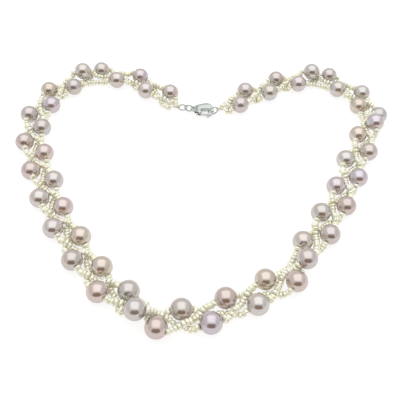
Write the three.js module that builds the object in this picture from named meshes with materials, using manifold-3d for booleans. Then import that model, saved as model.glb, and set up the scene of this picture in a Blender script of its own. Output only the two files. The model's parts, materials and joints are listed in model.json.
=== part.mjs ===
// Three-strand twisted pearl necklace with a lobster clasp, laid out closed on a table.
// Millimetres. X runs across the necklace, Y from its front to the clasp, Z up from the table.
import * as THREE from 'three';
import { mergeVertices } from 'three/addons/utils/BufferGeometryUtils.js';
import Module from 'manifold-3d';

const wasm = await Module();
wasm.setup();

// ---------- driving dimensions ----------
const PEARL_DIAMETER = 7.5;
const PEARL_COUNT = 53;
const STRAND_COUNT = 3;
const STRAND_DIAMETER = 1.7;
const BRAID_HALF_WIDTH = 3.5;
const BRAID_HALF_HEIGHT = 1.6;
const PASSING_HEIGHT = 2.6;
const RAISED_OFFSET = [1.7, 2.4];
const DUCKED_OFFSET = [-1.5, -1.9];
const SHIFTED_OFFSET = [-2.9, 0.3];
const END_BUNDLE_RADIUS = 1.15;
const RUN_COUNT = 17;
const PEARLS_PER_RUN = 3;
const RUN_END_GAP = 0.5;
const TUBE_STEPS_PER_PEARL = 2;

const WIRE_RADIUS = 0.3;
const SMALL_RING_RADIUS = 1.9;
const HOOK_RING_RADIUS = 2.2;
const THREAD_LOOP_RADIUS = 0.75;
const THREAD_RADIUS = 0.2;
const KNOT_RADIUS = 0.75;
const KNOT_OVERHANG = 0.5;
const LOOP_SLACK = 0.15;
const CLASP_HEIGHT = 2.55;
const CLASP_START = [-11.4, 44];
const CLASP_YAW = THREE.MathUtils.degToRad(-9.5);
const CLASP_ROLL = THREE.MathUtils.degToRad(15);
const RIGHT_RING_YAW = THREE.MathUtils.degToRad(28);

const CLAW_LENGTH = 10.2;
const CLAW_THICKNESS = 2.8;
const CLAW_EYE_THICKNESS = 1.5;
const CLAW_TIP_THICKNESS = 1.4;
const CLAW_BOW_RADIUS = 3.1;
const EYE_BOSS_RADIUS = 1.25;
const EYE_HOLE_RADIUS = 0.7;
const HOOK_WALL = 1.0;
const LEVER_THICKNESS = 0.8;
const LEVER_SLOT_WIDTH = 1.4;
const LEVER_PIN_RADIUS = 0.3;
const LEVER_HOLE_RADIUS = 0.4;

// The line the braid follows: [pearl number, x, y], from the left end round the front to the right end.
const BRAID_ROUTE = [
  [0, -13.6, 44.6],
  [1, -17.5, 50.5],
  [3, -31, 62],
  [5, -47.5, 66],
  [7, -61.5, 58],
  [9, -70, 42.5],
  [11, -71.5, 25.5],
  [13, -67.5, 8.5],
  [15, -61, -7.5],
  [17, -55, -22],
  [21, -37.5, -50],
  [23, -27, -60.5],
  [25, -14.5, -68],
  [27, 1, -66],
  [29, 15.5, -59],
  [31, 28.5, -50],
  [33, 38, -36.5],
  [37, 54.5, -7.5],
  [39, 61, 8.5],
  [41, 69, 24.5],
  [43, 74, 40],
  [45, 70, 54.5],
  [47, 58.5, 66.5],
  [49, 43.5, 66],
  [51, 28.5, 58],
  [53, 14.5, 48],
  [54, 9.2, 44.2],
];

// Pearls alternate between the outside (+1) and the inside (-1) of the loop, and at these five
// the alternation changes over. One pearl at each change rides up on top of the other strands.
const CHANGEOVER_PEARLS = [6, 25, 32, 43, 48];
const RAISED_PEARLS = [6, 24, 32, 42, 48];

const CREAM_PEARL = new THREE.MeshStandardMaterial({ color: 0xe9dfcf, roughness: 0.3, metalness: 0.1 });
const SILVER = new THREE.MeshStandardMaterial({ color: 0xc9ccca, roughness: 0.18, metalness: 1.0 });
const STEEL = new THREE.MeshStandardMaterial({ color: 0x9a9c9c, roughness: 0.3, metalness: 1.0 });
const SILK = new THREE.MeshStandardMaterial({ color: 0xe6dcc3, roughness: 0.7, metalness: 0.0 });

const group = new THREE.Group();

// ---------- solids ----------
function toSolid(geometry) {
  const bare = geometry.index ? geometry.toNonIndexed() : geometry.clone();
  bare.deleteAttribute('normal');
  bare.deleteAttribute('uv');
  const welded = mergeVertices(bare, 1e-4);
  const vertProperties = new Float32Array(welded.attributes.position.array);
  const triVerts = new Uint32Array(welded.index.array);
  return new wasm.Manifold(new wasm.Mesh({ numProp: 3, vertProperties, triVerts }));
}

function toGeometry(solid) {
  const mesh = solid.getMesh();
  const geometry = new THREE.BufferGeometry();
  geometry.setAttribute('position', new THREE.BufferAttribute(mesh.vertProperties, 3));
  geometry.setIndex(new THREE.BufferAttribute(mesh.triVerts, 1));
  geometry.computeVertexNormals();
  return geometry;
}

function addPiece(parent, name, solid, material) {
  const mesh = new THREE.Mesh(toGeometry(solid), material);
  mesh.name = name;
  parent.add(mesh);
  return mesh;
}

// A ball with its poles on the Z axis, so its lowest point is exactly one radius down.
function ball(radius, centre) {
  const geometry = new THREE.SphereGeometry(radius, 10, 7);
  geometry.rotateX(Math.PI / 2);
  geometry.translate(centre.x, centre.y, centre.z);
  return toSolid(geometry);
}

// A wire ring round the Y axis.
function wireRing(ringRadius, wireRadius, segments) {
  const sides = 6;
  const profile = [];
  for (let i = 0; i <= sides; i += 1) {
    const angle = (2 * Math.PI * (i % sides)) / sides;
    profile.push(new THREE.Vector2(ringRadius + wireRadius * Math.cos(angle), wireRadius * Math.sin(angle)));
  }
  return new THREE.LatheGeometry(profile, segments);
}

function extrudeFlat(shape, thickness) {
  const geometry = new THREE.ExtrudeGeometry(shape, {
    depth: thickness,
    bevelEnabled: false,
    curveSegments: 10,
  });
  geometry.translate(0, 0, -thickness / 2);
  return toSolid(geometry);
}

function rod(radius, length, x, y, sides = 16) {
  const geometry = new THREE.CylinderGeometry(radius, radius, length, sides);
  geometry.rotateX(Math.PI / 2);
  geometry.translate(x, y, 0);
  return toSolid(geometry);
}

function block(x0, x1, y0, y1, z0, z1) {
  const geometry = new THREE.BoxGeometry(x1 - x0, y1 - y0, z1 - z0);
  geometry.translate((x0 + x1) / 2, (y0 + y1) / 2, (z0 + z1) / 2);
  return toSolid(geometry);
}

// Outline round two circles on the X axis joined by their common tangents.
function tearDrop(x0, r0, x1, r1, y = 0) {
  const lean = Math.asin((r1 - r0) / (x1 - x0));
  const shape = new THREE.Shape();
  shape.absarc(x0, y, r0, Math.PI / 2 + lean, (3 * Math.PI) / 2 - lean, false);
  shape.absarc(x1, y, r1, -Math.PI / 2 - lean, Math.PI / 2 + lean, false);
  shape.closePath();
  return shape;
}

// ---------- braid ----------
// Point on the braid's middle line at a pearl number, with smooth tangents at each route point.
function routePoint(station) {
  const last = BRAID_ROUTE.length - 2;
  let index = BRAID_ROUTE.findIndex((row) => row[0] > station) - 1;
  index = index < 0 ? last : index;
  const [s0, x0, y0] = BRAID_ROUTE[index];
  const [s1, x1, y1] = BRAID_ROUTE[index + 1];
  const slope = (k) => {
    const before = BRAID_ROUTE[Math.max(k - 1, 0)];
    const after = BRAID_ROUTE[Math.min(k + 1, BRAID_ROUTE.length - 1)];
    const span = after[0] - before[0];
    return [(after[1] - before[1]) / span, (after[2] - before[2]) / span];
  };
  const [mx0, my0] = slope(index);
  const [mx1, my1] = slope(index + 1);
  const span = s1 - s0;
  const u = (station - s0) / span;
  const h00 = 2 * u ** 3 - 3 * u ** 2 + 1;
  const h10 = (u ** 3 - 2 * u ** 2 + u) * span;
  const h01 = 3 * u ** 2 - 2 * u ** 3;
  const h11 = (u ** 3 - u ** 2) * span;
  return new THREE.Vector2(
    h00 * x0 + h10 * mx0 + h01 * x1 + h11 * mx1,
    h00 * y0 + h10 * my0 + h01 * y1 + h11 * my1,
  );
}

function outwardNormal(station) {
  const step = 0.01;
  const ahead = routePoint(Math.min(station + step, PEARL_COUNT + 1));
  const behind = routePoint(Math.max(station - step, 0));
  const tangent = ahead.sub(behind).normalize();
  return new THREE.Vector2(tangent.y, -tangent.x);
}

// Side of the loop that a pearl lies on: +1 outside, -1 inside.
function sideOf(pearl) {
  const changes = CHANGEOVER_PEARLS.filter((change) => change <= pearl).length;
  return (pearl + changes) % 2 === 0 ? -1 : 1;
}

function isEnd(station) {
  return station === 0 || station === PEARL_COUNT + 1;
}

function nearCrossing(station) {
  return [...CHANGEOVER_PEARLS, ...RAISED_PEARLS].some((pearl) => Math.abs(pearl - station) <= 1);
}

// Threads that only pass a pearl sink towards the table, except where the strands cross.
function middleHeight(station, turn) {
  if (isEnd(station)) {
    return CLASP_HEIGHT;
  }
  return turn === 0 || nearCrossing(station) ? PEARL_DIAMETER / 2 : PASSING_HEIGHT;
}

// Sideways and upward offsets at a raised pearl: the pearl's own strand is lifted, the next one
// ducks below it and the last is shifted to the far side.
function raisedOffsets(turn, side) {
  const ducks = turn === (side > 0 ? 1 : 2);
  const others = ducks ? DUCKED_OFFSET : SHIFTED_OFFSET;
  const [across, up] = turn === 0 ? RAISED_OFFSET : others;
  return [across * side, up];
}

// Where one strand's thread passes at a whole pearl number: through the pearl when the pearl is
// its own, and otherwise above or below the thread line on the side away from that pearl.
function threadPoint(strand, station) {
  const turn = (station - strand + PEARL_COUNT + 1) % STRAND_COUNT;
  const side = sideOf(station);
  const halfWidth = isEnd(station) ? END_BUNDLE_RADIUS : BRAID_HALF_WIDTH;
  const halfHeight = isEnd(station) ? END_BUNDLE_RADIUS : BRAID_HALF_HEIGHT;
  const angle = (-2 * Math.PI * turn) / STRAND_COUNT;
  let across = halfWidth * side * Math.cos(angle);
  const crossesAfterRise = CHANGEOVER_PEARLS.includes(station) && RAISED_PEARLS.includes(station - 1);
  let up = halfHeight * side * Math.sin(angle) * (crossesAfterRise ? -1 : 1);
  if (RAISED_PEARLS.includes(station)) {
    [across, up] = raisedOffsets(turn, side);
  }
  const middle = routePoint(station);
  const normal = outwardNormal(station);
  return new THREE.Vector3(
    middle.x + normal.x * across,
    middle.y + normal.y * across,
    middleHeight(station, turn) + up,
  );
}

function threadCurve(strand) {
  const points = [];
  for (let station = 0; station <= PEARL_COUNT + 1; station += 1) {
    points.push(threadPoint(strand, station));
  }
  return new THREE.CatmullRomCurve3(points, false, 'centripetal');
}

// First and last pearl numbers of a run, counted in half steps so a run ends between two pearls.
function runLimits(run) {
  const first = run === 1 ? 0 : PEARLS_PER_RUN * (run - 1) + 1.5;
  const last = run === RUN_COUNT ? PEARL_COUNT + 1 : PEARLS_PER_RUN * run + 1.5;
  return [first, last];
}

// One strand's stretch within a run: seed pearls on thread as a plain tube, with its large pearls.
function strandRun(curve, strand, run) {
  const [first, last] = runLimits(run);
  const stationLength = curve.getLength() / (PEARL_COUNT + 1);
  const trim = RUN_END_GAP / stationLength;
  const from = first + trim;
  const to = last - trim;
  const steps = Math.round((last - first) * TUBE_STEPS_PER_PEARL);
  const path = [];
  for (let i = 0; i <= steps; i += 1) {
    const station = from + ((to - from) * i) / steps;
    path.push(curve.getPoint(station / (PEARL_COUNT + 1)));
  }
  const section = new THREE.Shape();
  section.absarc(0, 0, STRAND_DIAMETER / 2, 0, 2 * Math.PI, false);
  const tube = new THREE.ExtrudeGeometry(section, {
    steps,
    curveSegments: 3,
    bevelEnabled: false,
    extrudePath: new THREE.CatmullRomCurve3(path, false, 'centripetal'),
  });
  let solid = toSolid(tube);
  for (let pearl = Math.ceil(from); pearl < to; pearl += 1) {
    const inRange = pearl >= 1 && pearl <= PEARL_COUNT;
    if (inRange && pearl % STRAND_COUNT === strand) {
      solid = solid.add(ball(PEARL_DIAMETER / 2, threadPoint(strand, pearl)));
    }
  }
  return solid;
}

for (let strand = 0; strand < STRAND_COUNT; strand += 1) {
  const curve = threadCurve(strand);
  const letter = 'abc'[strand];
  for (let run = 1; run <= RUN_COUNT; run += 1) {
    const name = `strand_${letter}_run_${String(run).padStart(2, '0')}`;
    addPiece(group, name, strandRun(curve, strand, run), CREAM_PEARL);
  }
}

// ---------- clasp line ----------
// Distances along the clasp line, from the left ring's far edge.
const LEFT_RING_X = SMALL_RING_RADIUS + WIRE_RADIUS;
const WIRE_PITCH = 3 * WIRE_RADIUS;
const LINK_RING_X = LEFT_RING_X + 2 * SMALL_RING_RADIUS - WIRE_PITCH;
const EYE_X = LINK_RING_X + SMALL_RING_RADIUS;
const BOW_X = CLAW_LENGTH - EYE_BOSS_RADIUS - CLAW_BOW_RADIUS;
const CLAW_TIP_X = BOW_X + CLAW_BOW_RADIUS;
const WINDOW_RADIUS = 1.15;
const WINDOW_X = CLAW_TIP_X - HOOK_WALL - WINDOW_RADIUS;
const WINDOW_Y = -0.75;
const WINDOW_REAR_X = 4.2;
const WINDOW_REAR_RADIUS = 0.75;
const HOOK_WIRE_X = CLAW_TIP_X - HOOK_WALL - WIRE_PITCH;

const claspLine = new THREE.Group();
claspLine.position.set(...CLASP_START, CLASP_HEIGHT);
claspLine.rotation.z = CLASP_YAW;
group.add(claspLine);

// A thread loop round a ring's wire with the strands' finishing knot on it; the knot is on -X.
function endKnot() {
  const loop = wireRing(THREAD_LOOP_RADIUS, THREAD_RADIUS, 14);
  const knot = ball(KNOT_RADIUS, new THREE.Vector3(-THREAD_LOOP_RADIUS - KNOT_OVERHANG, 0, 0));
  return toSolid(loop).add(knot);
}

const LOOP_REACH = THREAD_LOOP_RADIUS - THREAD_RADIUS - WIRE_RADIUS - LOOP_SLACK;

const leftKnot = addPiece(claspLine, 'left_end_knot', endKnot(), SILK);
leftKnot.position.x = WIRE_RADIUS - LOOP_REACH;

const leftRingShape = wireRing(SMALL_RING_RADIUS, WIRE_RADIUS, 18);
leftRingShape.rotateX(Math.PI / 2);
const leftRing = addPiece(claspLine, 'left_ring', toSolid(leftRingShape), SILVER);
leftRing.position.x = LEFT_RING_X;

// ---------- claw ----------
const claw = new THREE.Group();
claw.position.x = EYE_X;
claw.rotation.x = CLASP_ROLL;
claspLine.add(claw);

const linkShape = wireRing(SMALL_RING_RADIUS, WIRE_RADIUS, 18);
const linkRing = addPiece(claw, 'link_ring', toSolid(linkShape), SILVER);
linkRing.position.x = LINK_RING_X - EYE_X;

// Places on the claw, from the centre of its eye: X towards the hook, Y away from the mouth.
const PIVOT = new THREE.Vector2(2.3, -1.15);
const MOUTH_REAR_X = 3.9;
const MOUTH_FRONT_X = 6.6;
const MOUTH_TOP_Y = -1.2;
const SLOT_REAR_X = 1.1;
const SLOT_TOP_Y = 0.1;
const CUT_REACH = 4;
const LEVER_HUB_RADIUS = 0.85;
const LEVER_HUB_START = [1.45, -1.0];
const LEVER_INNER_EDGE = [[4.0, -1.55], [6.45, -1.95]];
const LEVER_OUTER_EDGE = [[6.45, -2.85], [4.6, -2.75], [2.95, -2.25]];
const THUMB_LUG = [[2.6, -3.0], [1.95, -3.0], [1.7, -2.1]];
const SPRING_RADIUS = 0.62;
const SPRING_WIRE_RADIUS = 0.1;

// Thickness of the claw seen from its edge: thin at the eye, full in the middle, thin at the hook.
function clawEdgeProfile() {
  const half = CLAW_THICKNESS / 2;
  const margin = 0.1;
  const upper = [
    [-EYE_BOSS_RADIUS - margin, CLAW_EYE_THICKNESS / 2],
    [0.6, CLAW_EYE_THICKNESS / 2 + margin],
    [2.2, half],
    [5.6, half],
    [7.6, 1.1],
    [CLAW_TIP_X + margin, CLAW_TIP_THICKNESS / 2],
  ];
  const shape = new THREE.Shape();
  upper.forEach(([x, z], i) => (i === 0 ? shape.moveTo(x, z) : shape.lineTo(x, z)));
  [...upper].reverse().forEach(([x, z]) => shape.lineTo(x, -z));
  shape.closePath();
  const geometry = new THREE.ExtrudeGeometry(shape, { depth: 2 * CUT_REACH, bevelEnabled: false });
  geometry.translate(0, 0, -CUT_REACH);
  geometry.rotateX(Math.PI / 2);
  return toSolid(geometry);
}

function clawBody() {
  const outline = tearDrop(0, EYE_BOSS_RADIUS, BOW_X, CLAW_BOW_RADIUS);
  const window = tearDrop(WINDOW_REAR_X, WINDOW_REAR_RADIUS, WINDOW_X, WINDOW_RADIUS, WINDOW_Y);
  const slotHalf = LEVER_SLOT_WIDTH / 2;
  const slot = block(SLOT_REAR_X, WINDOW_REAR_X, -CUT_REACH, SLOT_TOP_Y, -slotHalf, slotHalf);
  const mouth = block(MOUTH_REAR_X, MOUTH_FRONT_X, -CUT_REACH, MOUTH_TOP_Y, -CUT_REACH / 2, CUT_REACH / 2);
  return extrudeFlat(outline, CLAW_THICKNESS)
    .intersect(clawEdgeProfile())
    .subtract(extrudeFlat(window, CUT_REACH))
    .subtract(rod(EYE_HOLE_RADIUS, CUT_REACH, 0, 0))
    .subtract(rod(LEVER_HOLE_RADIUS, CUT_REACH, PIVOT.x, PIVOT.y, 12))
    .subtract(slot)
    .subtract(mouth);
}

// The spring-loaded bar that closes the hook's mouth, with the thumb lug that pulls it open.
function clawLever() {
  const shape = new THREE.Shape();
  shape.moveTo(...LEVER_HUB_START);
  shape.absarc(PIVOT.x, PIVOT.y, LEVER_HUB_RADIUS, Math.PI * 0.95, Math.PI * 0.3, true);
  [...LEVER_INNER_EDGE, ...LEVER_OUTER_EDGE, ...THUMB_LUG].forEach(([x, y]) => shape.lineTo(x, y));
  shape.closePath();
  const pinHole = rod(LEVER_HOLE_RADIUS, CUT_REACH, PIVOT.x, PIVOT.y, 12);
  return extrudeFlat(shape, LEVER_THICKNESS).subtract(pinHole);
}

addPiece(claw, 'claw_body', clawBody(), SILVER);
addPiece(claw, 'claw_lever', clawLever(), SILVER);
const pinLength = CLAW_THICKNESS - 0.1;
addPiece(claw, 'lever_pin', rod(LEVER_PIN_RADIUS, pinLength, PIVOT.x, PIVOT.y, 12), STEEL);

// One turn of the return spring round the pin, between the lever and a cheek.
const springShape = wireRing(SPRING_RADIUS, SPRING_WIRE_RADIUS, 14);
springShape.rotateX(Math.PI / 2);
springShape.translate(PIVOT.x, PIVOT.y, (LEVER_THICKNESS + LEVER_SLOT_WIDTH) / 4);
addPiece(claw, 'lever_spring', toSolid(springShape), STEEL);

// ---------- right end ----------
// The ring on the right end hangs in the hook and is turned towards the right strands.
const hookPoint = new THREE.Group();
hookPoint.position.set(HOOK_WIRE_X, WINDOW_Y, 0);
claw.add(hookPoint);
const rightLine = new THREE.Group();
rightLine.rotation.z = RIGHT_RING_YAW;
hookPoint.add(rightLine);

const hookRingShape = wireRing(HOOK_RING_RADIUS, WIRE_RADIUS, 18);
const rightRing = addPiece(rightLine, 'right_ring', toSolid(hookRingShape), SILVER);
rightRing.position.x = HOOK_RING_RADIUS;

const rightKnot = addPiece(rightLine, 'right_end_knot', endKnot(), SILK);
rightKnot.rotation.set(Math.PI / 2, 0, Math.PI);
rightKnot.position.x = 2 * HOOK_RING_RADIUS + LOOP_REACH;

// ---------- stand the necklace on the table, centred ----------
group.updateMatrixWorld(true);
const box = new THREE.Box3().setFromObject(group, true);
group.position.set(-(box.min.x + box.max.x) / 2, -(box.min.y + box.max.y) / 2, -box.min.z);
group.updateMatrixWorld(true);

export default group;
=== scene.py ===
"""Looks of the twisted pearl necklace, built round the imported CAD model.

Lengths are in millimetres, as in the CAD source, until a mesh or an object is made in metres.
"""
import json
import math
import random

import bpy
import numpy as np
from mathutils import Matrix, Vector

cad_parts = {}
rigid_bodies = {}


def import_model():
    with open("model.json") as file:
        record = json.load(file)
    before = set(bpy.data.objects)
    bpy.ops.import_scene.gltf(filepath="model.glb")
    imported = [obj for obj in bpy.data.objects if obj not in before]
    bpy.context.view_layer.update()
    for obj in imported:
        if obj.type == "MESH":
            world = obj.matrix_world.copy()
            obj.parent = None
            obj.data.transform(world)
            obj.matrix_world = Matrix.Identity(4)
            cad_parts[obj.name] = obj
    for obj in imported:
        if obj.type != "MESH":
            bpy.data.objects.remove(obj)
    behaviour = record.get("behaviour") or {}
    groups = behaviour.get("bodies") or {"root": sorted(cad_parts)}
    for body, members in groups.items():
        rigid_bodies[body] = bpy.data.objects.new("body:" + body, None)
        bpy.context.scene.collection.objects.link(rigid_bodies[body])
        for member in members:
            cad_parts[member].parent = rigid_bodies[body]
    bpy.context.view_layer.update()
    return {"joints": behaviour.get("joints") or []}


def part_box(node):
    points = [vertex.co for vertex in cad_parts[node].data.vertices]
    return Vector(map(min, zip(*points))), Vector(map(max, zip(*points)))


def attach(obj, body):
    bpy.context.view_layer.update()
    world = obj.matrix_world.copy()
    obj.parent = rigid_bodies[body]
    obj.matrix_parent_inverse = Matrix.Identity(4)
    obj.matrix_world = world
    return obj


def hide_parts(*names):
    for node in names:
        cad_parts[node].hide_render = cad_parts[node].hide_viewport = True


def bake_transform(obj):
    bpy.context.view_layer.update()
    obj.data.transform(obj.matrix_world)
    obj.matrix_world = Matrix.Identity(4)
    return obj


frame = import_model()

MM = 0.001
rng = random.Random(53)

# ---------- dimensions shared with the CAD source ----------
PEARL_COUNT = 53
STRAND_COUNT = 3
STRAND_LETTERS = "abc"
RUN_COUNT = 17
PEARLS_PER_RUN = 3
PEARL_RADIUS = 3.75
BRAID_HALF_WIDTH = 3.5
BRAID_HALF_HEIGHT = 1.6
PASSING_HEIGHT = 2.6
RAISED_OFFSET = (1.7, 2.4)
DUCKED_OFFSET = (-1.5, -1.9)
SHIFTED_OFFSET = (-2.9, 0.3)
END_BUNDLE_RADIUS = 1.15
CHANGEOVER_PEARLS = (6, 25, 32, 43, 48)
RAISED_PEARLS = (6, 24, 32, 42, 48)

WIRE_RADIUS = 0.3
SMALL_RING_RADIUS = 1.9
HOOK_RING_RADIUS = 2.2
THREAD_LOOP_RADIUS = 0.75
KNOT_RADIUS = 0.75
KNOT_OVERHANG = 0.5
LOOP_REACH = 0.1
CLASP_START = (-11.4, 44.0)
CLASP_HEIGHT = 2.55
CLASP_YAW = math.radians(-9.5)
CLASP_ROLL = math.radians(15)
RIGHT_RING_YAW = math.radians(28)
LEFT_RING_X = 2.2
LINK_RING_X = 5.1
EYE_X = 7.0
HOOK_WIRE_X = 7.05

EYE_BOSS_RADIUS = 1.25
BOW_X = 5.85
BOW_RADIUS = 3.1
WINDOW_Y = -0.75
PIVOT = (2.3, -1.15)
SLOT_HALF_WIDTH = 0.7

# The line the braid follows: [pearl number, x, y], from the left end round the front.
BRAID_ROUTE = (
    (0, -13.6, 44.6),
    (1, -17.5, 50.5),
    (3, -31, 62),
    (5, -47.5, 66),
    (7, -61.5, 58),
    (9, -70, 42.5),
    (11, -71.5, 25.5),
    (13, -67.5, 8.5),
    (15, -61, -7.5),
    (17, -55, -22),
    (21, -37.5, -50),
    (23, -27, -60.5),
    (25, -14.5, -68),
    (27, 1, -66),
    (29, 15.5, -59),
    (31, 28.5, -50),
    (33, 38, -36.5),
    (37, 54.5, -7.5),
    (39, 61, 8.5),
    (41, 69, 24.5),
    (43, 74, 40),
    (45, 70, 54.5),
    (47, 58.5, 66.5),
    (49, 43.5, 66),
    (51, 28.5, 58),
    (53, 14.5, 48),
    (54, 9.2, 44.2),
)

# ---------- dimensions of the finer pieces ----------
STEPS_PER_PEARL = 12
PINNED_STEPS = 6  # steps of thread on each side of a pearl's centre that are kept straight
FLEX_REACH = 2.5  # half the length of strand that turns between two runs

SEED_RADIUS = 1.6
SMALLEST_SEED = 0.85
SEED_PITCH = 1.45
SEED_CROWDING = 0.86  # how close settled strands lie, as a share of their distance when they touch
SEED_SHARE = 0.62  # of the distance to another strand, the most that a seed's radius takes
SEED_SINK = 0.03  # overlap of a strand's seeds into the chamfer of its large pearl
LEAST_SIDEWAYS = 0.6  # how far a pearl counts as beside a seed, not ahead of it, at the least
PEARL_HOLE_RADIUS = 0.34
PEARL_CHAMFER = 0.1
SEED_HOLE_RADIUS = 0.24
SEED_CHAMFER = 0.05
SEED_LEAN = 13  # degrees
THREAD_RADIUS = 0.17
THREAD_PLIES = 3
THREAD_SIDES = 12
PLY_PITCH = 1.6
LOOP_THREAD_RADIUS = 0.19
LOOP_PITCH = 0.785  # a sixth of the loop, so that its plies meet
WINDING_RADIUS = 0.2
END_GAP = 0.55  # bare thread before the first seed pearl and after the last
RING_CUT = 0.07
CLAW_SWELL = 0.35  # how much the bow is widened beyond the CAD outline


# ---------- small tools ----------
def unit(vector):
    return vector / np.linalg.norm(vector)


def hermite(p0, m0, p1, m1, u):
    return (
        (2 * u**3 - 3 * u**2 + 1) * p0
        + (u**3 - 2 * u**2 + u) * m0
        + (3 * u**2 - 2 * u**3) * p1
        + (u**3 - u**2) * m1
    )


def turned_to(axis):
    """Rotation that takes +Z to the axis."""
    return Vector(axis).to_track_quat("Z", "Y").to_matrix()


# ---------- the braid ----------
def route_slope(k):
    before = BRAID_ROUTE[max(k - 1, 0)]
    after = BRAID_ROUTE[min(k + 1, len(BRAID_ROUTE) - 1)]
    return (np.array(after[1:]) - np.array(before[1:])) / (after[0] - before[0])


def route_point(station):
    """The braid's middle line at a pearl number, which need not be whole."""
    k = max(i for i, row in enumerate(BRAID_ROUTE[:-1]) if row[0] <= station or i == 0)
    s0, s1 = BRAID_ROUTE[k][0], BRAID_ROUTE[k + 1][0]
    span = s1 - s0
    p0, p1 = np.array(BRAID_ROUTE[k][1:]), np.array(BRAID_ROUTE[k + 1][1:])
    return hermite(p0, route_slope(k) * span, p1, route_slope(k + 1) * span, (station - s0) / span)


def outward_normal(station):
    step = 0.01
    ahead = route_point(min(station + step, PEARL_COUNT + 1))
    behind = route_point(max(station - step, 0))
    tangent = unit(ahead - behind)
    return np.array((tangent[1], -tangent[0]))


def side_of(pearl):
    """Side of the loop that a pearl lies on: +1 outside, -1 inside."""
    changes = sum(change <= pearl for change in CHANGEOVER_PEARLS)
    return -1 if (pearl + changes) % 2 == 0 else 1


def near_crossing(station):
    return any(abs(pearl - station) <= 1 for pearl in CHANGEOVER_PEARLS + RAISED_PEARLS)


def middle_height(station, turn):
    """Threads that only pass a pearl sink towards the table, except where the strands cross."""
    if station in (0, PEARL_COUNT + 1):
        return CLASP_HEIGHT
    return PEARL_RADIUS if turn == 0 or near_crossing(station) else PASSING_HEIGHT


def thread_turn(strand, station):
    """How many pearls ago the strand had a pearl of its own."""
    return (station - strand + PEARL_COUNT + 1) % STRAND_COUNT


def raised_offset(turn, side):
    """Offsets at a raised pearl: its own strand rises, one of the others ducks and one shifts."""
    ducking_turn = 1 if side > 0 else 2
    if turn == 0:
        across, up = RAISED_OFFSET
    elif turn == ducking_turn:
        across, up = DUCKED_OFFSET
    else:
        across, up = SHIFTED_OFFSET
    return across * side, up


def thread_offset(strand, station):
    """A strand's offset at a whole pearl number: outwards across the braid, and up."""
    turn = thread_turn(strand, station)
    side = side_of(station)
    if station in RAISED_PEARLS:
        return raised_offset(turn, side)
    at_end = station in (0, PEARL_COUNT + 1)
    half_width = END_BUNDLE_RADIUS if at_end else BRAID_HALF_WIDTH
    half_height = END_BUNDLE_RADIUS if at_end else BRAID_HALF_HEIGHT
    crosses_after_rise = station in CHANGEOVER_PEARLS and station - 1 in RAISED_PEARLS
    angle = -2 * math.pi * turn / STRAND_COUNT
    across = half_width * side * math.cos(angle)
    up = half_height * side * math.sin(angle) * (-1 if crosses_after_rise else 1)
    return across, up


def thread_point(strand, station):
    across, up = thread_offset(strand, station)
    x, y = route_point(station) + outward_normal(station) * across
    return np.array((x, y, middle_height(station, thread_turn(strand, station)) + up))


def smooth_curve(points, steps):
    """Centripetal Catmull-Rom curve through the points, with so many steps between each two."""
    padded = [2 * points[0] - points[1], *points, 2 * points[-1] - points[-2]]
    out = []
    for p0, p1, p2, p3 in zip(padded, padded[1:], padded[2:], padded[3:]):
        d0 = np.linalg.norm(p1 - p0) ** 0.5
        d1 = np.linalg.norm(p2 - p1) ** 0.5
        d2 = np.linalg.norm(p3 - p2) ** 0.5
        m1 = d1 * ((p1 - p0) / d0 - (p2 - p0) / (d0 + d1) + (p2 - p1) / d1)
        m2 = d1 * ((p2 - p1) / d1 - (p3 - p1) / (d1 + d2) + (p3 - p2) / d2)
        out += [hermite(p1, m1, p2, m2, step / steps) for step in range(steps)]
    return np.array([*out, points[-1]])


def layout_shift():
    """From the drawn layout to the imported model's frame, read off the left ring's place."""
    low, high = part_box("left_ring")
    centre = np.array((low + high) / 2) / MM
    drawn = np.array((*CLASP_START, CLASP_HEIGHT)) + LEFT_RING_X * np.array(
        (math.cos(CLASP_YAW), math.sin(CLASP_YAW), 0)
    )
    return centre - drawn


SHIFT = layout_shift()


def strand_paths():
    paths = []
    for strand in range(STRAND_COUNT):
        points = [thread_point(strand, station) + SHIFT for station in range(PEARL_COUNT + 2)]
        paths.append(smooth_curve(points, STEPS_PER_PEARL))
    return np.array(paths)


PEARL_CENTRES = {
    pearl: thread_point(pearl % STRAND_COUNT, pearl) + SHIFT for pearl in range(1, PEARL_COUNT + 1)
}


def pushed_from(points, centres, clearance):
    """How far each point has to move to be that clear of every centre."""
    apart = points[:, None] - centres[None]
    distance = np.linalg.norm(apart, axis=2)
    short = np.clip(clearance - distance, 0, None)
    return (apart / distance[..., None] * short[..., None]).sum(axis=1)


def own_pearls(strand):
    return [pearl for pearl in range(1, PEARL_COUNT + 1) if pearl % STRAND_COUNT == strand]


def straighten_in_pearls(path, strand):
    """Runs the thread straight through the drill hole of each large pearl on the strand."""
    for pearl in own_pearls(strand):
        node = pearl * STEPS_PER_PEARL
        reach = path[node + PINNED_STEPS] - path[node - PINNED_STEPS]
        for step in range(-PINNED_STEPS, PINNED_STEPS + 1):
            path[node + step] = PEARL_CENTRES[pearl] + reach * step / (2 * PINNED_STEPS)


def settling_push(paths, strand):
    """How the points of a strand are pushed: off what they touch, off the table, and down."""
    strand_gap = 2 * SEED_RADIUS * SEED_CROWDING
    pearl_gap = PEARL_RADIUS + SEED_RADIUS * SEED_CROWDING
    strand_share = 1 / 6
    pearl_share = 0.7
    sinking = 0.06
    path = paths[strand]
    others = [other for other in range(STRAND_COUNT) if other != strand]
    centres = np.array([PEARL_CENTRES[pearl] for other in others for pearl in own_pearls(other)])
    push = sum(pushed_from(path, paths[other], strand_gap) for other in others) * strand_share
    push += pearl_share * pushed_from(path, centres, pearl_gap)
    push[:, 2] += np.clip(SEED_RADIUS - path[:, 2], 0, None) - sinking
    push[1:-1] = (push[:-2] + 2 * push[1:-1] + push[2:]) / 4
    return push


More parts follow.
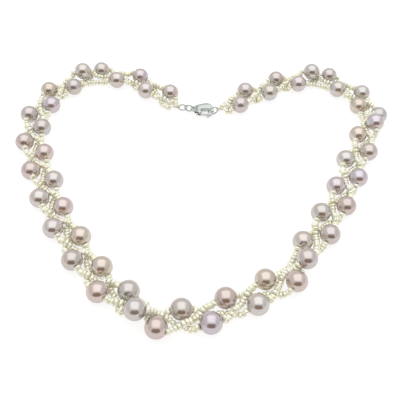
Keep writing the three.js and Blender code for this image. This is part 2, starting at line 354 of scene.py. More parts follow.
def held_near(path, drawn):
    """Keeps a path close to the drawn one and its seed pearls above the table."""
    furthest = 1.8
    moved = path - drawn
    distance = np.linalg.norm(moved, axis=1)[:, None]
    held = drawn + moved * np.minimum(1, furthest / np.maximum(distance, furthest))
    held[:, 2] = np.maximum(held[:, 2], SEED_RADIUS)
    return held


def settle(drawn):
    """Lets the strands sink and tighten until their seed pearls lie against what they touch."""
    rounds = 90
    tension = 0.12
    paths = drawn.copy()
    for _ in range(rounds):
        before = paths.copy()
        for strand, path in enumerate(paths):
            path[1:-1] += settling_push(before, strand)[1:-1]
            path[1:-1] += tension * (path[:-2] + path[2:] - 2 * path[1:-1])
            path[:] = held_near(path, drawn[strand])
            straighten_in_pearls(path, strand)
    return paths


def lengths_along(path):
    """The length from the path's start to each of its points."""
    steps = np.linalg.norm(np.diff(path, axis=0), axis=1)
    return np.concatenate(([0], np.cumsum(steps)))


PATHS = settle(strand_paths())
LENGTHS = [lengths_along(path) for path in PATHS]


def point_along(strand, length):
    return np.array([np.interp(length, LENGTHS[strand], PATHS[strand][:, axis]) for axis in range(3)])


def along(strand, length):
    """Point and direction on a strand at a length from its left end."""
    reach = 0.5
    ahead = point_along(strand, length + reach)
    behind = point_along(strand, length - reach)
    return point_along(strand, length), unit(ahead - behind)


def length_at(strand, station):
    return float(np.interp(station * STEPS_PER_PEARL, np.arange(len(LENGTHS[strand])), LENGTHS[strand]))


def run_of(station):
    return min(RUN_COUNT, max(1, math.floor((station - 1.5) / PEARLS_PER_RUN) + 1))


def run_end(run):
    return PEARLS_PER_RUN * run + 1.5


# ---------- meshes ----------
def joined_rings(count, sides, closed):
    """The faces between so many rings of points, one ring after another."""
    faces = []
    for i in range(count if closed else count - 1):
        j = (i + 1) % count
        for k in range(sides):
            m = (k + 1) % sides
            faces.append((i * sides + k, i * sides + m, j * sides + m, j * sides + k))
    return faces


def lathe(profile, segments):
    """A closed profile of (radius, height) turned round Z, as vertices and faces."""
    angles = 2 * math.pi * np.arange(segments) / segments
    radii, heights = np.array(profile).T
    ring = np.stack((np.cos(angles), np.sin(angles)), axis=1)
    vertices = np.concatenate(
        [np.column_stack((ring * r, np.full(segments, h))) for r, h in zip(radii, heights)]
    )
    return vertices, joined_rings(len(profile), segments, closed=True)


def directions_of(path, closed):
    """The direction of a path at each of its points."""
    if closed:
        directions = np.roll(path, -1, axis=0) - np.roll(path, 1, axis=0)
    else:
        directions = np.gradient(path, axis=0)
    return directions / np.linalg.norm(directions, axis=1)[:, None]


def tube(path, radius, sides, closed=False, plies=0, pitch=1.0):
    """A tube along a path. With plies its section is lobed and turns once in each pitch."""
    lobe_height = 0.16
    upright = 0.9
    path = np.array(path, float)
    directions = directions_of(path, closed)
    start = np.array((0, 0, 1)) if abs(directions[0][2]) < upright else np.array((1, 0, 0))
    normal = unit(np.cross(directions[0], start))
    angles = 2 * math.pi * np.arange(sides) / sides
    rings = []
    for place, direction, travelled in zip(path, directions, lengths_along(path)):
        normal = unit(normal - direction * (normal @ direction))
        binormal = np.cross(direction, normal)
        twist = 2 * math.pi * travelled / pitch
        lobes = lobe_height * np.cos(plies * (angles - twist)) if plies else np.zeros(sides)
        reach = (radius * (1 + lobes))[:, None]
        around = np.cos(angles)[:, None] * normal + np.sin(angles)[:, None] * binormal
        rings.append(place + reach * around)
    faces = joined_rings(len(path), sides, closed)
    if not closed:
        faces.append(tuple(reversed(range(sides))))
        faces.append(tuple(range((len(path) - 1) * sides, len(path) * sides)))
    return np.concatenate(rings), faces


def placed(part, rotation, centre):
    vertices, faces = part
    return vertices @ np.array(rotation).T + centre, faces


def make_object(name, parts, material, origin=(0, 0, 0), rotation=None, tints=None):
    """One object from parts in millimetres round its origin; tints holds one colour for each part."""
    vertices, faces, colours, start = [], [], [], 0
    for i, (points, polygons) in enumerate(parts):
        vertices.append(points)
        faces += [tuple(v + start for v in polygon) for polygon in polygons]
        start += len(points)
        if tints is not None:
            colours.append(np.tile((*tints[i], 1.0), (len(points), 1)))
    mesh = bpy.data.meshes.new(name)
    mesh.from_pydata(np.concatenate(vertices) * MM, [], faces)
    mesh.polygons.foreach_set("use_smooth", [True] * len(mesh.polygons))
    if tints is not None:
        layer = mesh.color_attributes.new("tint", "FLOAT_COLOR", "POINT")
        layer.data.foreach_set("color", np.concatenate(colours).ravel())
    mesh.materials.append(material)
    mesh.update()
    made = bpy.data.objects.new(name, mesh)
    bpy.context.scene.collection.objects.link(made)
    turn = Matrix.Identity(3) if rotation is None else rotation
    made.matrix_world = Matrix.Translation(Vector(origin) * MM) @ turn.to_4x4()
    return made


# ---------- material tools ----------
def new_material(name, **settings):
    material = bpy.data.materials.new(name)
    material.use_nodes = True
    shader = material.node_tree.nodes["Principled BSDF"]
    for key, value in settings.items():
        shader.inputs[key.replace("_", " ")].default_value = value
    return material, material.node_tree, shader


def add_node(tree, kind, inputs=None, **settings):
    made = tree.nodes.new(kind)
    for key, value in settings.items():
        setattr(made, key, value)
    for key, value in (inputs or {}).items():
        if isinstance(value, bpy.types.NodeSocket):
            tree.links.new(value, made.inputs[key])
        else:
            made.inputs[key].default_value = value
    return made


def mix_colour(tree, factor, a, b, blend="MIX"):
    factor_input, a_input, b_input, result = 0, 6, 7, 2
    made = add_node(
        tree,
        "ShaderNodeMix",
        {factor_input: factor, a_input: a, b_input: b},
        data_type="RGBA",
        blend_type=blend,
    )
    return made.outputs[result]


def noise(tree, vector, scale, detail=2.0, roughness=0.5):
    values = {"Vector": vector, "Scale": scale, "Detail": detail, "Roughness": roughness}
    return add_node(tree, "ShaderNodeTexNoise", values).outputs["Fac"]


def remap(tree, value, low, high, from_low=0.3, from_high=0.7):
    inputs = {"Value": value, "From Min": from_low, "From Max": from_high, "To Min": low, "To Max": high}
    return add_node(tree, "ShaderNodeMapRange", inputs).outputs["Result"]


def bump(tree, height, strength, distance, under=None):
    """A bump with its distance in millimetres, on top of the bump under it if there is one."""
    inputs = {"Height": height, "Strength": strength, "Distance": distance * MM}
    if under is not None:
        inputs["Normal"] = under
    return add_node(tree, "ShaderNodeBump", inputs).outputs["Normal"]


def object_coordinates(tree):
    return add_node(tree, "ShaderNodeTexCoord").outputs["Object"]


# ---------- materials ----------
def large_pearl_material():
    """Mauve nacre: a mirror-like skin, with pink clouds, golden patches and faint growth rings."""
    material, tree, shader = new_material(
        "mauve_nacre",
        Metallic=0.78,
        IOR=1.6,
        Specular_Tint=(0.80, 0.72, 0.72, 1),
        Coat_Weight=0.3,
        Coat_Roughness=0.05,
        Coat_IOR=1.5,
    )
    place = object_coordinates(tree)
    tint = add_node(tree, "ShaderNodeAttribute", attribute_name="tint").outputs["Color"]
    clouds = noise(tree, place, 260, detail=3)
    cloudy = mix_colour(tree, remap(tree, clouds, 0, 0.30), tint, (0.62, 0.50, 0.55, 1))
    rings = add_node(
        tree,
        "ShaderNodeTexWave",
        {"Vector": place, "Scale": 190, "Distortion": 1.5, "Detail": 2, "Detail Scale": 1.2},
        bands_direction="Z",
    ).outputs["Fac"]
    warmth = noise(tree, place, 150, detail=1)
    warm = mix_colour(tree, remap(tree, warmth, 0, 0.34, 0.48, 0.70), cloudy, (0.67, 0.53, 0.41, 1))
    ringed = mix_colour(tree, remap(tree, rings, 0, 0.10, 0, 1), warm, (0.50, 0.40, 0.36, 1))
    tree.links.new(ringed, shader.inputs["Base Color"])
    tree.links.new(remap(tree, clouds, 0.15, 0.22), shader.inputs["Roughness"])
    grown = bump(tree, rings, 0.05, 0.05)
    grained = bump(tree, noise(tree, place, 1500, detail=2), 0.06, 0.02, under=grown)
    tree.links.new(grained, shader.inputs["Normal"])
    return material


def seed_pearl_material():
    """Cream nacre with a soft lustre, each seed pearl a little different in colour."""
    material, tree, shader = new_material(
        "cream_nacre",
        Metallic=0.4,
        IOR=1.6,
        Coat_Weight=0.5,
        Coat_Roughness=0.08,
        Coat_IOR=1.55,
    )
    place = object_coordinates(tree)
    tint = add_node(tree, "ShaderNodeAttribute", attribute_name="tint").outputs["Color"]
    clouds = noise(tree, place, 900, detail=3)
    cloudy = mix_colour(tree, remap(tree, clouds, 0, 0.5), tint, (0.86, 0.83, 0.62, 1))
    tree.links.new(cloudy, shader.inputs["Base Color"])
    tree.links.new(remap(tree, clouds, 0.18, 0.34), shader.inputs["Roughness"])
    tree.links.new(bump(tree, noise(tree, place, 1400, detail=3), 0.35, 0.06), shader.inputs["Normal"])
    return material


def silver_material():
    """Polished plated silver with fine wear marks."""
    material, tree, shader = new_material("polished_silver", Metallic=1.0)
    place = object_coordinates(tree)
    stretch = add_node(tree, "ShaderNodeMapping", {"Vector": place, "Scale": (300, 2600, 2600)})
    marks = noise(tree, stretch.outputs["Vector"], 1.0, detail=4, roughness=0.6)
    clouds = noise(tree, place, 500, detail=2)
    colour = mix_colour(tree, remap(tree, clouds, 0, 1), (0.43, 0.45, 0.43, 1), (0.51, 0.53, 0.51, 1))
    tree.links.new(colour, shader.inputs["Base Color"])
    tree.links.new(remap(tree, marks, 0.14, 0.24), shader.inputs["Roughness"])
    tree.links.new(bump(tree, marks, 0.08, 0.01), shader.inputs["Normal"])
    return material


def steel_material():
    """Drawn spring wire and pin steel."""
    material, tree, shader = new_material("drawn_steel", Metallic=1.0)
    place = object_coordinates(tree)
    grain = noise(tree, place, 4000, detail=3)
    colour = mix_colour(tree, grain, (0.50, 0.50, 0.49, 1), (0.68, 0.68, 0.67, 1))
    tree.links.new(colour, shader.inputs["Base Color"])
    tree.links.new(remap(tree, grain, 0.22, 0.38), shader.inputs["Roughness"])
    return material


def silk_material():
    """Cream twisted silk."""
    material, tree, shader = new_material("twisted_silk", Sheen_Weight=0.4, Sheen_Roughness=0.4)
    place = object_coordinates(tree)
    fibres = noise(tree, place, 5000, detail=3)
    colour = mix_colour(tree, remap(tree, fibres, 0, 1), (0.74, 0.67, 0.50, 1), (0.90, 0.86, 0.74, 1))
    tree.links.new(colour, shader.inputs["Base Color"])
    tree.links.new(remap(tree, fibres, 0.6, 0.85), shader.inputs["Roughness"])
    tree.links.new(bump(tree, fibres, 0.5, 0.03), shader.inputs["Normal"])
    return material


MAUVE_NACRE = large_pearl_material()
CREAM_NACRE = seed_pearl_material()
SILVER = silver_material()
STEEL = steel_material()
SILK = silk_material()

# ---------- large pearls ----------
MAUVE = (0.61, 0.57, 0.55)
ROSE = (0.62, 0.53, 0.50)
LAVENDER = (0.60, 0.56, 0.61)
SILVERY = (0.60, 0.59, 0.56)
GOLDEN = (0.64, 0.58, 0.49)
TINTED_PEARLS = (
    ((12, 13, 14, 17, 22, 25, 28, 31, 36), ROSE),
    ((3, 9, 27, 37, 38, 42), LAVENDER),
    ((6, 11, 23, 24, 26, 29, 35, 39, 43, 45, 46, 48, 51), SILVERY),
    ((8, 19, 21, 30, 41, 44), GOLDEN),
)


def pearl_tint(pearl):
    base = next((tint for pearls, tint in TINTED_PEARLS if pearl in pearls), MAUVE)
    shade = rng.uniform(0.94, 1.06)
    return tuple(min(1.0, channel * shade) for channel in base)


def drilled_profile(radius, half_length, hole, chamfer, steps, squareness=1.0):
    """Closed profile of a drilled bead: its outer curve, a chamfer at each end and the hole's wall."""
    start = math.asin((hole + chamfer) / radius)
    profile = []
    for i in range(steps + 1):
        angle = start + (math.pi - 2 * start) * i / steps
        r = radius * math.sin(angle) ** squareness
        z = half_length * math.copysign(abs(math.cos(angle)) ** squareness, math.cos(angle))
        profile.append((r, z))
    profile.reverse()
    end = profile[-1][1]
    return [(hole, -end + chamfer), *profile, (hole, end - chamfer), (hole, end / 2), (hole, -end / 2)]


def off_round(vertices):
    """A drilled pearl's vertices, a little oval and egg-shaped, with the hole left straight."""
    size_share = 0.99
    hole_share = 0.97  # of the drawn length of the hole, so that its ends stay inside the pearl
    tolerance = 0.01
    phase = rng.uniform(0, 2 * math.pi)
    swell = rng.uniform(0.002, 0.010)
    egg = rng.uniform(-0.010, 0.010)
    oval = rng.uniform(-0.012, 0.004)
    x, y, z = vertices.T
    height = z / PEARL_RADIUS
    waist = swell * (np.cos(2 * np.arctan2(y, x) + phase) - 1) * (1 - height**2)
    shape = size_share + waist + egg * height + oval * height**2
    outside = np.hypot(x, y) > PEARL_HOLE_RADIUS + tolerance
    return np.where(outside[:, None], vertices * shape[:, None], vertices * (1, 1, hole_share))


def large_pearl(pearl):
    """A pearl slightly off round, with its drill hole along the strand."""
    strand = pearl % STRAND_COUNT
    _, direction = along(strand, length_at(strand, pearl))
    profile = drilled_profile(PEARL_RADIUS, PEARL_RADIUS, PEARL_HOLE_RADIUS, PEARL_CHAMFER, 40)
    vertices, faces = lathe(profile, 64)
    part = (off_round(vertices), faces)
    spin = Matrix.Rotation(rng.uniform(0, 2 * math.pi), 3, "Z")
    made = make_object(
        f"pearl_{pearl:02d}",
        [part],
        MAUVE_NACRE,
        origin=PEARL_CENTRES[pearl],
        rotation=turned_to(direction) @ spin,
        tints=[pearl_tint(pearl)],
    )
    run = run_of(pearl)
    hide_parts(f"strand_{STRAND_LETTERS[strand]}_run_{run:02d}")
    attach(made, f"braid_run_{run:02d}")


# ---------- seed pearls ----------
CREAM_TINTS = (
    (0.90, 0.90, 0.77),
    (0.93, 0.93, 0.86),
    (0.86, 0.85, 0.66),
    (0.88, 0.89, 0.76),
    (0.91, 0.87, 0.71),
)


def flex_zone(strand, run):
    """The lengths between which a strand turns from a run to the next, clear of its large pearls."""
    station = run_end(run)
    room = PEARL_RADIUS + FLEX_REACH
    before = [length_at(strand, pearl) for pearl in own_pearls(strand) if pearl <= station]
    after = [length_at(strand, pearl) for pearl in own_pearls(strand) if pearl > station]
    middle = length_at(strand, station)
    if before:
        middle = max(middle, before[-1] + room)
    if after:
        middle = min(middle, after[0] - room)
    return middle - FLEX_REACH, middle + FLEX_REACH


def blend_runs(piece):
    """Bakes the placement of a piece of a strand, between a run and the next, into its mesh."""
    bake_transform(piece)


def runs_at(length, zone, first, last):
    """The run that a length of strand belongs to, or both runs in the zone where it turns."""
    if length < zone[0]:
        return (first,)
    if length > zone[1]:
        return (last,)
    return first, last


def seed_places(strand):
    """(runs, length along the strand, thickness) of every seed pearl on a strand."""
    centres = [length_at(strand, pearl) for pearl in own_pearls(strand)]
    starts = [END_GAP, *[centre + PEARL_RADIUS - SEED_SINK for centre in centres]]
    ends = [*[centre - PEARL_RADIUS + SEED_SINK for centre in centres], LENGTHS[strand][-1] - END_GAP]
    stations = [0, *own_pearls(strand), PEARL_COUNT + 1]
    places = []
    for start, end, before, after in zip(starts, ends, stations, stations[1:]):
        first, last = run_of(before), run_of(after)
        zone = (end, end) if first == last else flex_zone(strand, first)
        count = round((end - start) / SEED_PITCH)
        pitch = (end - start) / count
        for i in range(count):
            middle = start + (i + 0.5) * pitch
            places.append((runs_at(middle, zone, first, last), middle, pitch))
    return places


def flex_joint(run):
    """The joint between a run and the next one."""
    bodies = {f"braid_run_{run:02d}", f"braid_run_{run + 1:02d}"}
    return next(row for row in frame["joints"] if {row["parent"], row["child"]} == bodies)


def pearl_places(pearl, run):
    """Centres that a large pearl takes as seen from a run: at rest, and with the joint between bent."""
    centre = PEARL_CENTRES[pearl]
    other = run_of(pearl)
    if abs(other - run) != 1:
        return [centre]
    joint = flex_joint(min(run, other))
    way = 1 if joint["child"] == f"braid_run_{other:02d}" else -1
    angle = way * math.radians(joint["range_deg"][1])
    turn = np.array(Matrix.Rotation(angle, 3, Vector(joint["axis"])))
    pivot = np.array(joint["pos_m"]) / MM
    return [centre, pivot + turn @ (centre - pivot)]


def pearls_near(strand, centre):
    """The large pearls on the other strands that a seed at the centre might reach."""
    far = 3 * PEARL_RADIUS
    near = [pearl for pearl, place in PEARL_CENTRES.items() if np.linalg.norm(place - centre) <= far]
    return [pearl for pearl in near if pearl % STRAND_COUNT != strand]


def room_beside(pearl_place, centre, direction):
    """The largest radius of a seed across its strand that stays out of a large pearl."""
    apart = pearl_place - centre
    distance = np.linalg.norm(apart)
    sideways = np.linalg.norm(np.cross(apart / distance, direction))
    return (distance - PEARL_RADIUS) / max(sideways, LEAST_SIDEWAYS)


def seed_room(strand, runs, centre, direction):
    """The largest radius that keeps a seed out of the large pearls and the other two strands."""
    room = SEED_RADIUS
    for pearl in pearls_near(strand, centre):
        for run in runs:
            for place in pearl_places(pearl, run):
                room = min(room, room_beside(place, centre, direction))
    for other, path in enumerate(PATHS):
        if other != strand:
            nearest = np.linalg.norm(path - centre, axis=1).min()
            room = min(room, SEED_SHARE * nearest)
    return max(room, SMALLEST_SEED)


def seed(thickness, room):
    """One button-shaped seed pearl, irregular all round."""
    crowding = 1.03
    warp_share = 0.10
    lobe_counts = (2, 3, 5)
    radius = min(SEED_RADIUS * rng.uniform(0.76, 1.0), room)
    half_length = thickness / 2 * crowding
    profile = drilled_profile(radius, half_length, SEED_HOLE_RADIUS, SEED_CHAMFER, 10, squareness=0.8)
    vertices, faces = lathe(profile, 20)
    x, y, z = vertices.T
    around = np.arctan2(y, x)
    reach = np.clip((np.hypot(x, y) - SEED_HOLE_RADIUS) / radius, 0, 1)
    phases = [rng.uniform(0, 2 * math.pi) for _ in range(4)]
    depths = [rng.uniform(0.03, 0.09), rng.uniform(0.02, 0.06), rng.uniform(0.01, 0.03)]
    waves = sum(
        depth * (np.cos(count * around + phase) - 1)
        for count, depth, phase in zip(lobe_counts, depths, phases)
    )
    grow = 1 + waves * reach
    warp = warp_share * thickness * reach * np.cos(around + phases[3])
    return np.column_stack((x * grow, y * grow, z + warp)), faces


def seed_runs(strand):
    """The seed pearls of one strand: one piece for each run, and one for each flex between runs."""
    letter = STRAND_LETTERS[strand]
    by_runs = {}
    for runs, middle, thickness in seed_places(strand):
        centre, direction = along(strand, middle)
        lean = Matrix.Rotation(math.radians(rng.uniform(-SEED_LEAN, SEED_LEAN)), 3, "X")
        spin = Matrix.Rotation(rng.uniform(0, 2 * math.pi), 3, "Z")
        shape = seed(thickness, seed_room(strand, runs, centre, direction))
        part = placed(shape, turned_to(direction) @ lean @ spin, centre)
        by_runs.setdefault(runs, []).append((part, rng.choice(CREAM_TINTS)))
    for runs, seeds in by_runs.items():
        parts = [part for part, _ in seeds]
        tints = [tint for _, tint in seeds]
        name = "_".join(f"{run:02d}" for run in runs)
        made = make_object(f"seed_pearls_{letter}_{name}", parts, CREAM_NACRE, tints=tints)
        if len(runs) == 2:
            blend_runs(made)
        else:
            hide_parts(f"strand_{letter}_run_{name}")
            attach(made, f"braid_run_{name}")


# ---------- places on the clasp line ----------
def clasp_matrix(x, roll=0.0):
    """Place and turn of the clasp line at a distance along it, in millimetres."""
    start = Vector((*CLASP_START, CLASP_HEIGHT)) + Vector(SHIFT)
    line = Matrix.Translation(start) @ Matrix.Rotation(CLASP_YAW, 4, "Z")
    return line @ Matrix.Translation((x, 0, 0)) @ Matrix.Rotation(roll, 4, "X")


CLAW = clasp_matrix(EYE_X, CLASP_ROLL)
HOOK_WIRE = CLAW @ Matrix.Translation((HOOK_WIRE_X, WINDOW_Y, 0))
RIGHT_LINE = HOOK_WIRE @ Matrix.Rotation(RIGHT_RING_YAW, 4, "Z")
LEFT_KNOT = clasp_matrix(WIRE_RADIUS - LOOP_REACH)
RIGHT_KNOT = (
    RIGHT_LINE
    @ Matrix.Translation((2 * HOOK_RING_RADIUS + LOOP_REACH, 0, 0))
    @ Matrix.Rotation(math.pi, 4, "Z")
    @ Matrix.Rotation(math.pi / 2, 4, "X")
)
KNOT_CENTRE = Vector((-THREAD_LOOP_RADIUS - KNOT_OVERHANG, 0, 0))


# ---------- thread ----------
def thread_path(strand, first, last):
    """Points along a strand's thread between two stations, out to the knots at the ends."""
    step = 0.3
    start, end = length_at(strand, first), length_at(strand, last)
    count = max(2, round((end - start) / step))
    points = [along(strand, start + (end - start) * i / count)[0] for i in range(count + 1)]
    if first == 0:
        points = points_between(LEFT_KNOT @ KNOT_CENTRE, points[0]) + points
    if last == PEARL_COUNT + 1:
        points = points + points_between(RIGHT_KNOT @ KNOT_CENTRE, points[-1])[::-1]
    return points


def points_between(start, end, count=4):
    start = np.array(start)
    return [start + (end - start) * i / count for i in range(count)]


def thread_pieces(strand):
    """The thread in pieces that reach from the middle of one run to the middle of the next."""
    letter = STRAND_LETTERS[strand]
    middles = [0, *[PEARLS_PER_RUN * run for run in range(1, RUN_COUNT + 1)], PEARL_COUNT + 1]
    for i, (first, last) in enumerate(zip(middles, middles[1:])):
        path = thread_path(strand, first, last)
        part = tube(path, THREAD_RADIUS, THREAD_SIDES, plies=THREAD_PLIES, pitch=PLY_PITCH)
        made = make_object(f"thread_{letter}_{i:02d}", [part], SILK)
        if i == 0:
            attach(made, "braid_run_01")
        elif i == RUN_COUNT:
            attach(made, f"braid_run_{RUN_COUNT:02d}")
        else:
            blend_runs(made)


# ---------- clasp ----------
def clasp_piece(name, parts, matrix, material, body, node):
    """A piece from parts in its own millimetre frame, riding on a body in place of a CAD node."""
    made = make_object(name, parts, material)
    made.matrix_world = Matrix.Translation(matrix.translation * MM) @ matrix.to_3x3().to_4x4()
    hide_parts(node)
    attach(made, body)


def arc(radius, count, start=0.0, turn=2 * math.pi):
    """Points round Z, both ends of the arc among them."""
    angles = [start + turn * i / count for i in range(count + 1)]
    return [radius * np.array((math.cos(angle), math.sin(angle), 0)) for angle in angles]


def jump_ring(name, radius, matrix, cut_angle, body):
    """A wire ring round Z with the cut where it was opened and closed."""
    cut = RING_CUT / radius
    path = arc(radius, 96, cut_angle + cut / 2, 2 * math.pi - cut)
    clasp_piece(name, [tube(path, WIRE_RADIUS, 20)], matrix, SILVER, body, body)


def winding(radius):
    """The thread wound round a knot, from one pole of it to the other along X."""
    turns, steps = 5, 150
    first, covered = 0.08, 0.84
    points = []
    for i in range(steps + 1):
        lean = math.pi * (first + covered * i / steps)
        turn = 2 * math.pi * turns * i / steps
        across = math.sin(lean)
        direction = np.array((math.cos(lean), across * math.cos(turn), across * math.sin(turn)))
        points.append(radius * direction)
    return tube(points, WINDING_RADIUS, 10)


def knot_parts():
    """The strands' finishing knot, wound round, and the thread loop that goes through the ring."""
    loop_path = arc(THREAD_LOOP_RADIUS, 60)[:-1]
    loop = tube(
        loop_path, LOOP_THREAD_RADIUS, THREAD_SIDES, closed=True, plies=THREAD_PLIES, pitch=LOOP_PITCH
    )
    core = KNOT_RADIUS - WINDING_RADIUS
    ball = lathe(drilled_profile(core, core, 0.02, 0.01, 16), 24)
    centre = np.array(KNOT_CENTRE)
    return [
        placed(loop, Matrix.Rotation(math.pi / 2, 3, "X"), np.zeros(3)),
        placed(winding(core), Matrix.Identity(3), centre),
        placed(ball, Matrix.Identity(3), centre),
    ]


def rounded_copy(node, voxel):
    """A CAD node's mesh in the claw's millimetre frame, remeshed finely and with its edges rounded."""
    mesh = bpy.data.objects[node].data.copy()
    mesh.transform(Matrix.Scale(1 / MM, 4))
    mesh.transform(CLAW.inverted())
    source = bpy.data.objects.new("source", mesh)
    bpy.context.scene.collection.objects.link(source)
    remesh = source.modifiers.new("remesh", "REMESH")
    remesh.mode = "VOXEL"
    remesh.voxel_size = voxel
    smooth = source.modifiers.new("smooth", "SMOOTH")
    smooth.factor = 0.5
    smooth.iterations = 8
    evaluated = source.evaluated_get(bpy.context.evaluated_depsgraph_get())
    shaped = bpy.data.meshes.new_from_object(evaluated)
    vertices = np.array([vertex.co for vertex in shaped.vertices])
    faces = [tuple(polygon.vertices) for polygon in shaped.polygons]
    bpy.data.objects.remove(source)
    bpy.data.meshes.remove(shaped)
    return vertices, faces


def depth_inside_claw(x, y):
    """How far inside the claw's outline points lie: two circles and the lines that touch both."""
    slope = (EYE_BOSS_RADIUS - BOW_RADIUS) / BOW_X
    level = math.sqrt(1 - slope * slope)
    y = np.abs(y)
    on_line = level * x - slope * y
    by_eye = EYE_BOSS_RADIUS - np.hypot(x, y)
    by_bow = BOW_RADIUS - np.hypot(x - BOW_X, y)
    between = EYE_BOSS_RADIUS - (level * y + slope * x)
    return np.where(on_line < 0, by_eye, np.where(on_line > level * BOW_X, by_bow, between))


def shaped_claw(vertices):
    """Fills out the bow's outline, thins the casting towards eye and tip, and crowns its faces."""
    crown_width = 1.3
    edge_share = 0.15
    wedge_slope = 0.09
    x, y, z = vertices.T
    inside = np.clip(depth_inside_claw(x, y) / crown_width, 0, 1)
    crown = edge_share + (1 - edge_share) * np.sqrt(1 - (1 - inside) ** 2)
    wedge = 1 - wedge_slope * (y + 1.5)
    above_slot = np.clip(np.abs(z) - SLOT_HALF_WIDTH, 0, None)
    height = np.minimum(np.abs(z), SLOT_HALF_WIDTH) + above_slot * crown * wedge
    thickness = np.interp(x, (-1.3, 0.6, 2.2, 6.6, 9.0), (0.54, 0.62, 1.0, 1.0, 0.68))
    swell = CLAW_SWELL * np.interp(x, (0.5, 4.5), (0, 1)) * (1 - inside)
    grow = 1 + swell / np.maximum(np.hypot(x - BOW_X, y), BOW_RADIUS)
    return np.column_stack((BOW_X + (x - BOW_X) * grow, y * grow, np.sign(z) * height * thickness))


def claw_body():
    vertices, faces = rounded_copy("claw_body", 0.08)
    part = (shaped_claw(vertices), faces)
    clasp_piece("claw_casting", [part], CLAW, SILVER, "claw", "claw_body")


def lever():
    """The spring-loaded closing bar with its thumb lug."""
    part = rounded_copy("claw_lever", 0.05)
    clasp_piece("claw_closing_lever", [part], CLAW, SILVER, "claw_lever", "claw_lever")


def lever_pin():
    """The pin with its ends peened over."""
    peened_end = [(0.3, 1.28), (0.2, 1.37), (0.02, 1.38)]
    other_end = [(radius, -height) for radius, height in reversed(peened_end)]
    profile = other_end + peened_end
    part = placed(lathe(profile, 24), Matrix.Identity(3), np.array((*PIVOT, 0)))
    clasp_piece("claw_pin", [part], CLAW, STEEL, "claw", "lever_pin")


def lever_spring():
    """Two and a half turns of wire round the pin, with a leg against the lever and one on the body."""
    turns, steps = 2.5, 90
    radius, wire = 0.6, 0.05
    low, rise = 0.48, 0.16
    lever_leg = (1.1, -0.55, 0.47)
    body_leg = 0.9
    x, y = PIVOT
    path = [np.array((x + radius, y, 0)) + lever_leg]
    for point in arc(radius, steps, 0, -2 * math.pi * turns):
        height = low + rise * (len(path) - 1) / steps
        path.append(point + (x, y, height))
    path.append(np.array((x - radius, y + body_leg, low + rise)))
    part = tube(path, wire, 10)
    clasp_piece("claw_spring", [part], CLAW, STEEL, "claw", "lever_spring")


def clasp():
    upright = Matrix.Rotation(math.pi / 2, 4, "X")
    left = clasp_matrix(LEFT_RING_X)
    link = CLAW @ Matrix.Translation((LINK_RING_X - EYE_X, 0, 0)) @ upright
    right = RIGHT_LINE @ Matrix.Translation((HOOK_RING_RADIUS, 0, 0)) @ upright
    jump_ring("left_jump_ring", SMALL_RING_RADIUS, left, 1.9, "left_ring")
    jump_ring("link_jump_ring", SMALL_RING_RADIUS, link, 1.2, "link_ring")
    jump_ring("right_jump_ring", HOOK_RING_RADIUS, right, -1.3, "right_ring")
    last_run = f"braid_run_{RUN_COUNT:02d}"
    clasp_piece("left_knot", knot_parts(), LEFT_KNOT, SILK, "braid_run_01", "left_end_knot")
    clasp_piece("right_knot", knot_parts(), RIGHT_KNOT, SILK, last_run, "right_end_knot")
    claw_body()
    lever()
    lever_pin()
    lever_spring()


# ---------- studio ----------
CAMERA_PLACE = (-0.00780, -0.17569, 0.16695)
CAMERA_TILT = math.radians(44.65)
CAMERA_LEAN = math.radians(-1.77)
FLOOR_SIDE = 4.0
SOFTBOX_RADIANCE = 0.3
ROOF_RISE = (math.radians(53), math.radians(135))
ROOF_HALF_WIDTH = 0.64
ROOF_LIGHT = (1.24, 1.26, 1.26, 1)
WALL_LIGHT = (0.79, 0.80, 0.80, 1)
OPENING_RISE = (math.radians(2), math.radians(45))
OPENING_HALF_WIDTH = 0.85
OPENING_LIGHT = (0.20, 0.10, 0.03, 1)


def camera():
    data = bpy.data.cameras.new("camera")
    data.sensor_width = 36
    data.lens = 54.9
    data.clip_start = 0.01
    made = bpy.data.objects.new("camera", data)
    made.location = CAMERA_PLACE
    made.rotation_euler = (CAMERA_TILT, CAMERA_LEAN, 0)
    bpy.context.scene.collection.objects.link(made)
    bpy.context.scene.camera = made


def floor():
    bpy.ops.mesh.primitive_plane_add(size=FLOOR_SIDE)
    made = bpy.context.object
    made.name = "studio_floor"
    material, tree, shader = new_material("white_table", Roughness=0.9, Emission_Strength=0.82)
    shader.inputs["Emission Color"].default_value = (1, 1, 1, 1)
    shader.inputs["Base Color"].default_value = (0.22, 0.22, 0.22, 1)
    made.data.materials.append(material)


def softbox():
    """A large soft light overhead, the brighter middle of the tent's lit roof."""
    data = bpy.data.lights.new("softbox", "AREA")
    data.shape = "RECTANGLE"
    data.size = 1.0
    data.size_y = 1.1
    data.energy = SOFTBOX_RADIANCE * math.pi * data.size * data.size_y
    made = bpy.data.objects.new("softbox", data)
    made.location = (0, 0.1, 0.7)
    bpy.context.scene.collection.objects.link(made)


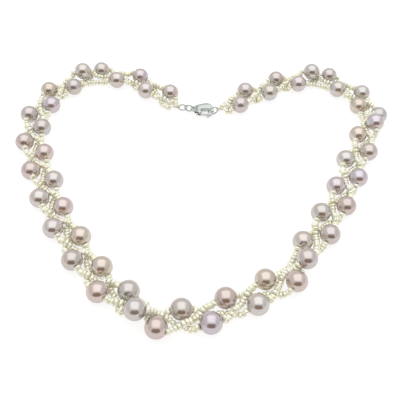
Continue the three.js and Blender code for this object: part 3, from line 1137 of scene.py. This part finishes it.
def band(tree, value, low, high, soft):
    """1 where the value lies between low and high, with soft edges."""
    rise = remap(tree, value, 0, 1, low - soft, low + soft)
    fall = remap(tree, value, 1, 0, high - soft, high + soft)
    rise.node.interpolation_type = fall.node.interpolation_type = "SMOOTHSTEP"
    return arithmetic(tree, "MULTIPLY", rise, fall)


def arithmetic(tree, operation, a, b):
    return add_node(tree, "ShaderNodeMath", {0: a, 1: b}, operation=operation).outputs[0]


def tent():
    """A white tent with a bright roof, open on the camera's side, where the room is dark."""
    world = bpy.data.worlds.new("tent")
    bpy.context.scene.world = world
    world.use_nodes = True
    tree = world.node_tree
    background = tree.nodes["Background"]
    direction = add_node(tree, "ShaderNodeTexCoord").outputs["Generated"]
    axes = add_node(tree, "ShaderNodeSeparateXYZ", {0: direction}).outputs
    towards_camera = arithmetic(tree, "MULTIPLY", axes["Y"], -1.0)
    rise = arithmetic(tree, "ARCTAN2", axes["Z"], towards_camera)
    sideways = arithmetic(tree, "DIVIDE", axes["X"], towards_camera)
    over = band(tree, rise, *ROOF_RISE, math.radians(10))
    across = band(tree, axes["X"], -ROOF_HALF_WIDTH, ROOF_HALF_WIDTH, 0.14)
    ahead = band(tree, rise, *OPENING_RISE, math.radians(6))
    between = band(tree, sideways, -OPENING_HALF_WIDTH, OPENING_HALF_WIDTH, 0.15)
    roof = arithmetic(tree, "MULTIPLY", over, across)
    opening = arithmetic(tree, "MULTIPLY", ahead, between)
    lit = mix_colour(tree, roof, WALL_LIGHT, ROOF_LIGHT)
    room = mix_colour(tree, opening, lit, OPENING_LIGHT)
    seen = add_node(tree, "ShaderNodeLightPath").outputs["Is Camera Ray"]
    shown = mix_colour(tree, seen, room, (1, 1, 1, 1))
    tree.links.new(shown, background.inputs["Color"])


def studio():
    camera()
    floor()
    softbox()
    tent()
    bpy.context.scene.view_settings.view_transform = "Standard"


def necklace():
    for pearl in range(1, PEARL_COUNT + 1):
        large_pearl(pearl)
    for strand in range(STRAND_COUNT):
        seed_runs(strand)
        thread_pieces(strand)
    clasp()


studio()
necklace()
